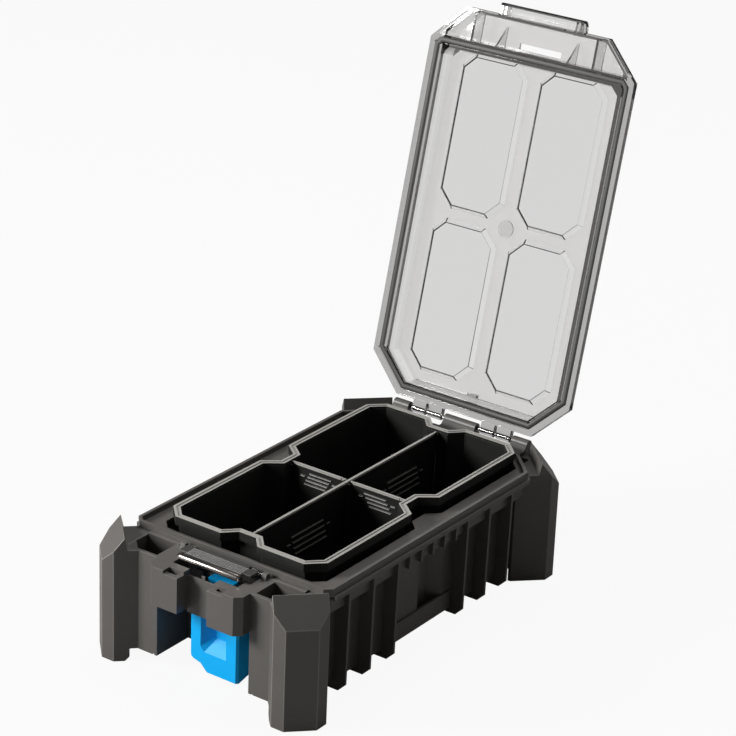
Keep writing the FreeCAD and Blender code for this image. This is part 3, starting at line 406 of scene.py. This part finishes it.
def inset_outline(points: np.ndarray, step: float) -> np.ndarray:
    """Move a counter-clockwise plan outline inwards, with mitred corners.

    Args:
        points: Corners as (n, 2).
        step: Distance, negative for outwards.

    Returns:
        Moved corners: each goes along the sum of its edges' inward normals a and b,
        by step / (1 + a.b), so that both edges move by the step.
    """
    ahead = np.roll(points, -1, axis=0) - points
    ahead /= np.linalg.norm(ahead, axis=1, keepdims=True)
    after = np.column_stack([-ahead[:, 1], ahead[:, 0]])
    before = np.roll(after, 1, axis=0)
    share = step / (1.0 + np.sum(before * after, axis=1, keepdims=True))
    return points + (before + after) * share


def grid_piece(
    name: str, points: np.ndarray, wrap_rows: bool, wrap_columns: bool
) -> bpy.types.Object:
    """Make a surface of four-sided faces on a grid of points.

    Args:
        name: Name of the piece.
        points: Places in metres as (rows, columns, 3).
        wrap_rows: Whether the last row joins the first; else both ends are capped.
        wrap_columns: Whether the last column joins the first.

    Returns:
        New object at the origin, with faces that point outwards.
    """
    rows, columns = points.shape[:2]
    index = np.arange(rows * columns).reshape(rows, columns)
    row = np.arange(rows if wrap_rows else rows - 1)
    column = np.arange(columns if wrap_columns else columns - 1)
    first, second = np.meshgrid(row, column, indexing="ij")
    next_row, next_column = (first + 1) % rows, (second + 1) % columns
    faces = np.stack([
        index[first, second], index[next_row, second],
        index[next_row, next_column], index[first, next_column],
    ], axis=-1).reshape(-1, 4).tolist()
    if not wrap_rows:
        faces += [index[0].tolist(), index[-1][::-1].tolist()]
    mesh = bpy.data.meshes.new(name)
    mesh.from_pydata(points.reshape(-1, 3).tolist(), [], faces)
    work = bmesh.new()
    work.from_mesh(mesh)
    bmesh.ops.recalc_face_normals(work, faces=work.faces)
    work.to_mesh(mesh)
    work.free()
    mesh.shade_smooth()
    piece = bpy.data.objects.new(name, mesh)
    bpy.context.scene.collection.objects.link(piece)
    return piece


def bake_modifiers(piece: bpy.types.Object) -> None:
    """Replace a piece's mesh by what its modifiers give, and clear them."""
    graph = bpy.context.evaluated_depsgraph_get()
    shaped = bpy.data.meshes.new_from_object(piece.evaluated_get(graph))
    piece.modifiers.clear()
    piece.data = shaped


def soften(piece: bpy.types.Object, edge: EdgeRadius, smooth: bool = True) -> None:
    """Round a piece's sharp edges by a fixed radius and weight its normals.

    Args:
        piece: Object to change.
        edge: Radius, number of steps and the least angle that counts as an edge.
        smooth: False keeps each face's own normal, which a clear wall needs, because
            light bends at it by that normal.
    """
    bevel = piece.modifiers.new("edge_radius", "BEVEL")
    bevel.width = edge.width_mm * MM
    bevel.segments = edge.segments
    bevel.limit_method = "ANGLE"
    bevel.angle_limit = np.radians(edge.angle_deg)
    bevel.use_clamp_overlap = True
    bevel.harden_normals = False
    # The bevel's faces take the second slot, the paler copy painted as a highlight on the
    # edges.
    if len(piece.data.materials) > 1:
        bevel.material = 1
    bake_modifiers(piece)
    if not smooth:
        piece.data.shade_flat()
        return
    piece.data.shade_smooth()
    weigh = piece.modifiers.new("weighted_normals", "WEIGHTED_NORMAL")
    weigh.keep_sharp = True
    weigh.weight = NORMAL_WEIGHT
    bake_modifiers(piece)


@dataclass
class SubAssembly:
    """Frame nodes that share a body and a finish."""

    frame: dict[str, Any]
    body: str
    finish: bpy.types.Material
    nodes: Sequence[str]
    edge: EdgeRadius | None = None
    # Paler copy of the finish for the bevelled edges: a painted highlight.
    edge_highlight: bpy.types.Material | None = None
    pieces: list[bpy.types.Object] = field(default_factory=list)

    def paint(self, piece: bpy.types.Object) -> None:
        """Give a piece its finish, and the paler copy painted as edge highlight as the second
        slot if there is one.
        """
        piece.data.materials.clear()
        piece.data.materials.append(self.finish)
        if self.edge_highlight is not None:
            piece.data.materials.append(self.edge_highlight)

    def place(self, piece: bpy.types.Object, *nodes: str) -> None:
        """Let a piece ride on the body in place of frame nodes."""
        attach(piece, self.body)
        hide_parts(*nodes)
        self.pieces.append(piece)

    def dress(self) -> None:
        """Give each node its finish, and its edge radii where the class has them."""
        for name in self.nodes:
            node = self.frame["nodes"][name]
            if self.edge is None:
                node.data.materials.clear()
                node.data.materials.append(self.finish)
                continue
            piece = merged_copy(node, f"{name}_moulding")
            self.paint(piece)
            soften(piece, self.edge)
            self.place(piece, name)

    def report(self) -> None:
        """Log the sub-assembly, its finish and each piece that stands for its nodes."""
        LOG.info("%s on %s: %s", type(self).__name__, self.body, self.finish.name)
        for piece in self.pieces:
            LOG.info("  %s, %d faces", piece.name, len(piece.data.polygons))


class Case(SubAssembly):
    """Tub, corner posts and front housing."""


@dataclass
class Hinge:
    """Turn of the lid from its shut place to its open one, about an axis along X."""

    axis_y: float = 194.2
    axis_z: float = 113.6
    open_deg: float = 103.9

    def opened(self, points: np.ndarray) -> np.ndarray:
        """Turn points in millimetres on the shut lid to metres on the open one.

        Args:
            points: Places as (..., 3).

        Returns:
            (y, z) about the axis turns to (y cos a + z sin a, z cos a - y sin a).
        """
        angle = np.radians(self.open_deg)
        y, z = points[..., 1] - self.axis_y, points[..., 2] - self.axis_z
        turned = np.stack([
            points[..., 0],
            self.axis_y + y * np.cos(angle) + z * np.sin(angle),
            self.axis_z + z * np.cos(angle) - y * np.sin(angle),
        ], axis=-1)
        return turned * MM

    def shut_height(self, points: np.ndarray) -> np.ndarray:
        """Height in millimetres that points in metres on the open lid have when it is shut."""
        angle = np.radians(self.open_deg)
        y, z = points[..., 1] / MM - self.axis_y, points[..., 2] / MM - self.axis_z
        return self.axis_z + y * np.sin(angle) + z * np.cos(angle)


@dataclass
class ClearLid(SubAssembly):
    """Hinged lid, seen through: one moulding, which the frame holds as several nodes."""

    hinge: Hinge = field(default_factory=Hinge)
    top_mm: float = 129.5
    level_mm: float = 0.05

    def dress(self) -> None:
        """Join the nodes to one closed moulding, so that no seam shows in the clear wall."""
        copies = [welded_copy(self.frame["nodes"][name], f"{name}_copy") for name in self.nodes]
        piece = copies[0]
        piece.name = "clear_lid_moulding"
        for other in copies[1:]:
            union = piece.modifiers.new("join", "BOOLEAN")
            union.operation = "UNION"
            union.solver = "EXACT"
            union.object = other
            bake_modifiers(piece)
            bpy.data.objects.remove(other, do_unlink=True)
        join_flat_faces(piece)
        self.paint(piece)
        self.texture_top(piece)
        soften(piece, self.edge, smooth=False)
        self.place(piece, *self.nodes)

    def texture_top(self, piece: bpy.types.Object) -> None:
        """Give the raised cross and border of the lid's top their fine texture."""
        mesh = piece.data
        places = np.empty(len(mesh.vertices) * 3)
        mesh.vertices.foreach_get("co", places)
        heights = self.hinge.shut_height(places.reshape(-1, 3))
        level = [
            float(np.all(np.abs(heights[list(face.vertices)] - self.top_mm) < self.level_mm))
            for face in mesh.polygons
        ]
        mesh.attributes.new(TEXTURED, "FLOAT", "FACE").data.foreach_set("value", level)


@dataclass
class LidSeal(SubAssembly):
    """Silicone seal in the lid's groove: a D profile along the rim's outline."""

    hinge: Hinge = field(default_factory=Hinge)
    rim_mm: tuple[float, float, float] = (104.5, -150.8, 180.0)
    chamfer_mm: tuple[float, float] = (6.0, 32.9)
    steps_mm: tuple[float, float] = (-0.25, 5.25)
    z_mm: tuple[float, float, float] = (115.25, 114.1, 112.55)
    round_steps: int = 9

    def dress(self) -> None:
        """Carry the profile round the rim: flat back in the groove, round face to the case.

        At t from 0 to pi the round face lies middle - reach * cos t inside the rim, at the
        height side - (side - face) * sin t, and the back closes it at the groove's height.
        """
        half, front, rear = self.rim_mm
        low, high = self.chamfer_mm
        outline = np.array([
            (-half + low, front), (half - low, front), (half, front + low),
            (half, rear - high), (half - high, rear), (-half + high, rear),
            (-half, rear - high), (-half, front + low),
        ])
        back_z, side_z, face_z = self.z_mm
        outer, inner = self.steps_mm
        turn = np.linspace(0.0, np.pi, self.round_steps)
        middle, reach = (outer + inner) / 2, (inner - outer) / 2
        profile = [(outer, back_z)]
        heights = side_z - (side_z - face_z) * np.sin(turn)
        profile += list(zip(middle - reach * np.cos(turn), heights))
        profile += [(inner, back_z)]
        rows = []
        for step, z in profile:
            edge = inset_outline(outline, step)
            rows.append(np.column_stack([edge, np.full(len(edge), z)]))
        piece = grid_piece("silicone_seal", self.hinge.opened(np.array(rows)), True, True)
        self.paint(piece)
        self.place(piece, *self.nodes)


class SmallHardware(SubAssembly):
    """Pins and screws."""


@dataclass
class ReturnSprings(SubAssembly):
    """Pair of return springs on the catch pin: round wire on a helix."""

    start_x_mm: float = 29.5
    centre_mm: tuple[float, float] = (-157.0, 109.0)
    radius_mm: float = 2.1
    wire_mm: float = 0.43
    pitch_mm: float = 1.6
    turns: int = 4
    steps: int = 28
    sides: int = 10

    def dress(self) -> None:
        """Sweep a circle along each helix.

        The centre line is x = start + pitch * turn, with y and z on a circle, and the
        circle's two directions are the radius and the cross product of it and the way.
        """
        turn = np.linspace(0.0, self.turns, self.turns * self.steps + 1)
        angle = 2 * np.pi * turn
        radial = np.column_stack([np.zeros_like(angle), np.cos(angle), np.sin(angle)])
        line = radial * self.radius_mm
        line[:, 0] = self.start_x_mm + self.pitch_mm * turn
        line[:, 1] += self.centre_mm[0]
        line[:, 2] += self.centre_mm[1]
        rise = self.pitch_mm / (2 * np.pi * self.radius_mm)
        way = np.column_stack([np.full_like(angle, rise), -np.sin(angle), np.cos(angle)])
        way /= np.linalg.norm(way, axis=1, keepdims=True)
        other = np.cross(radial, way)
        around = np.linspace(0.0, 2 * np.pi, self.sides, endpoint=False)
        out, across = np.cos(around)[None, :, None], np.sin(around)[None, :, None]
        ring = out * radial[:, None] + across * other[:, None]
        points = line[:, None] + ring * self.wire_mm
        for side, node in ((1, "catch_spring_right"), (-1, "catch_spring_left")):
            placed = points * np.array([side, 1, 1]) * MM
            piece = grid_piece(f"{node}_wire", placed, False, True)
            self.paint(piece)
            self.place(piece, node)


@dataclass
class CatchBar(SubAssembly):
    """Polished bar that the lid's hook snaps over, with a hexagonal head at each end."""

    centre_mm: tuple[float, float] = (-177.0, 110.3)
    half_mm: float = 33.0
    radius_mm: float = 3.18
    head_mm: float = 2.65
    head_length_mm: float = 2.0
    broken_mm: tuple[tuple[float, float], ...] = ((0.6, 0.0), (0.2, 0.12), (0.0, 0.5))
    step_mm: float = 0.02
    chamfer_mm: float = 0.3
    columns: int = 60
    sharp_deg: float = 35.0

    def dress(self) -> None:
        """Turn the bar: rows along X, each a circle, or a hexagon on the heads.

        A hexagon of apothem a has radius a / cos((t mod 60) - 30) at t degrees. The points
        of the round body's broken edge are (back from the head, depth) in broken_mm.
        """
        around = np.linspace(0.0, 360.0, self.columns, endpoint=False)
        hexagon = self.head_mm / np.cos(np.radians((around - 30.0) % 60.0 - 30.0))
        circle = np.full(self.columns, self.radius_mm)
        half, head = self.half_mm, self.half_mm - self.head_length_mm
        # Half of the bar outwards: round body, its broken edge, then the hexagonal head.
        right = [(head - back, circle - depth) for back, depth in self.broken_mm]
        right += [
            (head + self.step_mm, hexagon), (half - self.chamfer_mm, hexagon),
            (half - self.step_mm, hexagon - self.chamfer_mm),
        ]
        rows = [(-x, radius) for x, radius in reversed(right)] + right
        angle = np.radians(around)
        points = np.array([
            np.column_stack([
                np.full(self.columns, x),
                self.centre_mm[0] + radius * np.cos(angle),
                self.centre_mm[1] + radius * np.sin(angle),
            ])
            for x, radius in rows
        ])
        piece = grid_piece("polished_bar_turning", points * MM, False, True)
        piece.data.set_sharp_from_angle(angle=np.radians(self.sharp_deg))
        self.paint(piece)
        self.place(piece, *self.nodes)


class Catch(SubAssembly):
    """Sprung plate that holds the lid's hook."""


class StackingLatch(SubAssembly):
    """Blue sliding latch."""


@dataclass
class CrestedMoulding(SubAssembly):
    """Tray or divider whose upper edge is a paler band, a painted highlight."""

    # Paler material painted as a highlight on the top band.
    top_highlight: bpy.types.Material | None = None
    top_mm: float = 121.0
    band_mm: float = 0.9

    def is_painted_highlight(self, name: str, mesh: bpy.types.Mesh, face: bpy.types.MeshPolygon) -> bool:
        """Tell whether a face gets the painted highlight, which here is any face within the
        band at the top.
        """
        lowest = min(mesh.vertices[corner].co.z for corner in face.vertices)
        return lowest / MM > self.top_mm - self.band_mm

    def dress(self) -> None:
        """Finish each node, with the faces that take the painted highlight in its paler
        material.
        """
        for name in self.nodes:
            piece = merged_copy(self.frame["nodes"][name], f"{name}_moulding")
            self.paint(piece)
            piece.data.materials.append(self.top_highlight)
            slot = len(piece.data.materials) - 1
            for face in piece.data.polygons:
                if self.is_painted_highlight(name, piece.data, face):
                    face.material_index = slot
            soften(piece, self.edge)
            self.place(piece, name)


class CompartmentTray(CrestedMoulding):
    """Lift-out tray."""


@dataclass
class Divider(CrestedMoulding):
    """Divider that slides out of the tray, with grip bars proud of its face.

    middle_mm gives each plate's axis, 0 for X and 1 for Y, and its middle plane's place
    on it. grip_mm is how far from that plane the fronts of the grip bars lie.
    """

    middle_mm: dict[str, tuple[int, float]] = field(default_factory=lambda: {
        "long_divider": (0, 0.0),
        "cross_divider_right": (1, 17.0),
        "cross_divider_left": (1, 17.0),
    })
    band_mm: float = 2.1
    grip_mm: tuple[float, float] = (1.5, 2.0)
    crest_mm: float = 3.0
    facing: float = 0.9

    def is_painted_highlight(self, name: str, mesh: bpy.types.Mesh, face: bpy.types.MeshPolygon) -> bool:
        """Tell whether a face is in the top band or is the front of a grip bar, the faces that
        get the painted highlight.

        The grip bars' fronts lie further from the middle plane than the plate's faces.
        """
        if super().is_painted_highlight(name, mesh, face):
            return True
        if name not in self.middle_mm:
            return False
        axis, middle = self.middle_mm[name]
        near, far = self.grip_mm
        below = face.center.z / MM < self.top_mm - self.crest_mm
        proud = near < abs(face.center[axis] / MM - middle) < far
        return below and proud and abs(face.normal[axis]) > self.facing


@dataclass(frozen=True)
class Softbox:
    """Rectangular lamp: centre and size in metres, radiant power in watts."""

    name: str
    at: tuple[float, float, float]
    size: tuple[float, float]
    power: float


@dataclass
class Studio:
    """Pale floor, soft light and the camera at the photograph's viewing angle."""

    camera_mm: tuple[float, float, float] = (1267.02, -1759.86, 1163.56)
    right: tuple[float, float, float] = (0.807952, 0.588101, 0.036748)
    up: tuple[float, float, float] = (-0.259404, 0.298996, 0.918320)
    forward: tuple[float, float, float] = (-0.529078, 0.751491, -0.394130)
    focal_px: float = 2742.2
    image_px: float = 736.0
    sensor_mm: float = 36.0
    clip_end: float = 100.0
    aim: tuple[float, float, float] = (0.0, 0.0, 0.1)
    fill: float = 0.09
    white_share: float = 0.93
    floor_half: float = 6.0
    floor_gap_mm: float = 0.05
    lamps: tuple[Softbox, ...] = (
        Softbox("key_left_front", (-2.05, -2.05, 1.4), (1.0, 1.1), 168.0),
        Softbox("top", (-0.1, 0.9, 2.4), (1.6, 1.2), 36.0),
        Softbox("side_right", (1.9, 1.9, 0.9), (1.0, 1.0), 4.0),
    )

    def place_camera(self) -> None:
        """Put the camera where the photograph's straight edges place it."""
        data = bpy.data.cameras.new("photo_camera")
        data.sensor_width = self.sensor_mm
        data.lens = self.focal_px / self.image_px * self.sensor_mm
        data.clip_end = self.clip_end
        camera = bpy.data.objects.new("photo_camera", data)
        back = tuple(-value for value in self.forward)
        turn = Matrix((self.right, self.up, back)).transposed().to_4x4()
        turn.translation = Vector(self.camera_mm) * MM
        camera.matrix_world = turn
        bpy.context.scene.collection.objects.link(camera)
        bpy.context.scene.camera = camera

    def hang(self, box: Softbox) -> None:
        """Hang a softbox in its place, turned to the object."""
        data = bpy.data.lights.new(box.name, "AREA")
        data.shape = "RECTANGLE"
        data.size, data.size_y = box.size
        data.energy = box.power
        lamp = bpy.data.objects.new(box.name, data)
        lamp.location = box.at
        way = Vector(self.aim) - Vector(box.at)
        lamp.rotation_euler = way.to_track_quat("-Z", "Y").to_euler()
        bpy.context.scene.collection.objects.link(lamp)

    def white_sweep(self) -> bpy.types.Material:
        """Make the floor's material: white to the camera, with the object's soft shadow."""
        material = new_material("studio_floor")
        tree = material.node_tree
        paint = add_node(tree, "ShaderNodeBsdfDiffuse", None, {
            "Color": linear(Tint.FLOOR.value),
        })
        glow = add_node(tree, "ShaderNodeEmission", None, {
            "Color": WHITE, "Strength": 1.0,
        })
        ray = add_node(tree, "ShaderNodeLightPath")
        seen = add_node(tree, "ShaderNodeMath", {"operation": "MAXIMUM"})
        tree.links.new(ray.outputs["Is Camera Ray"], seen.inputs[0])
        tree.links.new(ray.outputs["Is Transmission Ray"], seen.inputs[1])
        share = add_node(tree, "ShaderNodeMath", {"operation": "MULTIPLY"})
        tree.links.new(seen.outputs[0], share.inputs[0])
        share.inputs[1].default_value = self.white_share
        mix = add_node(tree, "ShaderNodeMixShader", None, {"Fac": share.outputs[0]})
        tree.links.new(paint.outputs[0], mix.inputs[1])
        tree.links.new(glow.outputs[0], mix.inputs[2])
        add_node(tree, "ShaderNodeOutputMaterial", None, {"Surface": mix.outputs[0]})
        return material

    def lay_floor(self, low_z: float) -> None:
        """Lay the floor just under the feet.

        Args:
            low_z: Height of the feet in metres.
        """
        half = self.floor_half
        corners = np.array([(-half, -half), (half, -half), (half, half), (-half, half)])
        height = low_z - self.floor_gap_mm * MM
        points = np.column_stack([corners, np.full(len(corners), height)])
        mesh = bpy.data.meshes.new("studio_floor")
        mesh.from_pydata(points.tolist(), [], [(0, 1, 2, 3)])
        floor = bpy.data.objects.new("studio_floor", mesh)
        mesh.materials.append(self.white_sweep())
        bpy.context.scene.collection.objects.link(floor)
        floor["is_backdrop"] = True

    def light_world(self) -> None:
        """Fill from a white world, which the camera sees as plain white."""
        world = bpy.data.worlds.new("studio_world")
        world.use_nodes = True
        tree = world.node_tree
        tree.nodes.clear()
        ray = add_node(tree, "ShaderNodeLightPath")
        seen = add_node(tree, "ShaderNodeMath", {"operation": "MAXIMUM"})
        tree.links.new(ray.outputs["Is Camera Ray"], seen.inputs[0])
        tree.links.new(ray.outputs["Is Transmission Ray"], seen.inputs[1])
        fill = add_node(tree, "ShaderNodeBackground", None, {
            "Color": WHITE, "Strength": self.fill,
        })
        white = add_node(tree, "ShaderNodeBackground", None, {
            "Color": WHITE, "Strength": 1.0,
        })
        mix = add_node(tree, "ShaderNodeMixShader", None, {"Fac": seen.outputs[0]})
        tree.links.new(fill.outputs[0], mix.inputs[1])
        tree.links.new(white.outputs[0], mix.inputs[2])
        add_node(tree, "ShaderNodeOutputWorld", None, {"Surface": mix.outputs[0]})
        bpy.context.scene.world = world

    def build(self, low_z: float) -> None:
        """Build the whole studio.

        Args:
            low_z: Height of the feet in metres.
        """
        self.place_camera()
        self.light_world()
        self.lay_floor(low_z)
        for box in self.lamps:
            self.hang(box)
        view = bpy.context.scene.view_settings
        view.view_transform = "Standard"
        LOG.info("studio: camera, floor and lamps")


def size_as_lists(bounds: Iterable[Iterable[float]]) -> list[list[float]]:
    """Turn a box to plain lists of numbers."""
    return [[float(value) for value in corner] for corner in bounds]


def main(frame: dict[str, Any]) -> None:
    """Build the pieces in order.
    """
    logging.basicConfig(level=logging.INFO, format="%(name)s %(message)s")
    cad_box = size_as_lists(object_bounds())
    # Case: satin polypropylene, whose bevelled edges get a paler copy of it, a painted
    # highlight.
    case_skin = MouldedPolymer("moulded_polypropylene_charcoal", Tint.CHARCOAL)
    # Tray: darker and smoother, so that its inside sinks to black; its edges' copy is five
    # times paler, a painted highlight that makes its rim stand out.
    tray_skin = MouldedPolymer(
        "moulded_polypropylene_tray", Tint.TRAY, roughness=0.4, grain_depth_mm=0.012,
        specular=0.35, edge_highlight_gain=5.0,
    )
    charcoal, charcoal_edge_highlight = case_skin.build(), case_skin.build(edge_highlight=True)
    tray_black, tray_edge_highlight = tray_skin.build(), tray_skin.build(edge_highlight=True)
    # Pale band painted as a highlight on the tray's rim and the dividers' tops and grip bars.
    rim_highlight = MouldedPolymer("painted_highlight_polypropylene_rim", Tint.TRAY_RIM_HIGHLIGHT, roughness=0.34).build()
    # Catch and latch: nylon, a little glossier, in black and in a bright opaque blue.
    catch_black = MouldedPolymer("moulded_nylon_catch", Tint.CATCH, roughness=0.34).build()
    blue = MouldedPolymer(
        "moulded_nylon_blue", Tint.LATCH_BLUE, roughness=0.42, flow_strength=0.04, specular=0.2
    ).build()
    # Seal: soft silicone with a dull face, a dark line round the clear lid.
    seal = MouldedPolymer(
        "moulded_silicone_seal", Tint.SEAL, roughness=0.55, grain_depth_mm=0.008
    ).build()
    smoke = ClearPolycarbonate(
        "polycarbonate_smoke", Tint.CLEAR, Tint.TEXTURED_CLEAR, Tint.SMOKE,
        density_per_metre=135.0,
    ).build()
    # Steel: drawn wire and pins, and a bar polished to a soft streak of light.
    steel = DrawnMetal("drawn_steel", Tint.DARK_STEEL).build()
    polished = DrawnMetal("polished_steel_bar", Tint.BAR, roughness=0.26).build()
    posts = [
        "corner_post_front_right", "corner_post_front_left",
        "corner_post_rear_right", "corner_post_rear_left",
    ]
    lid_nodes = [
        "lid", "lid_lip", "lid_rail_right", "lid_rail_left", "lid_corner_right",
        "lid_corner_left", "lid_rail_rear",
    ]
    fine, thin, wide = EdgeRadius(0.45), EdgeRadius(0.3), EdgeRadius(0.9)
    lid_edge, latch_edge = EdgeRadius(0.5), EdgeRadius(0.8)
    assemblies = [
        Case(frame, "case", charcoal, ["tub_body", "front_housing"], fine, charcoal_edge_highlight),
        Case(frame, "case", charcoal, posts, wide, charcoal_edge_highlight),
        Case(frame, "case", charcoal, ["latch_guide"], thin),
        SmallHardware(
            frame, "case", steel,
            ["hinge_pin_right", "hinge_pin_left", "catch_pin", "guide_screws"],
        ),
        ReturnSprings(frame, "case", steel, ["catch_spring_right", "catch_spring_left"]),
        ClearLid(frame, "lid", smoke, lid_nodes, lid_edge),
        LidSeal(frame, "lid", seal, ["lid_gasket"]),
        Catch(frame, "catch", catch_black, ["catch_plate"], thin),
        CatchBar(frame, "catch", polished, ["catch_bar"]),
        StackingLatch(frame, "stack_latch", blue, ["stack_latch"], latch_edge),
        CompartmentTray(frame, "tray", tray_black, ["tray"], fine, tray_edge_highlight, top_highlight=rim_highlight),
    ]
    for body, nodes in (
        ("long_divider", ["long_divider", "divider_guides"]),
        ("cross_divider_right", ["cross_divider_right"]),
        ("cross_divider_left", ["cross_divider_left"]),
    ):
        assemblies.append(Divider(
            frame, body, tray_black, nodes, thin, tray_edge_highlight, top_highlight=rim_highlight, top_mm=119.5
        ))
    for assembly in assemblies:
        assembly.dress()
        assembly.report()
    Studio().build(cad_box[0][2])


if __name__ == "__main__":
    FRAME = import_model()
    main(FRAME)
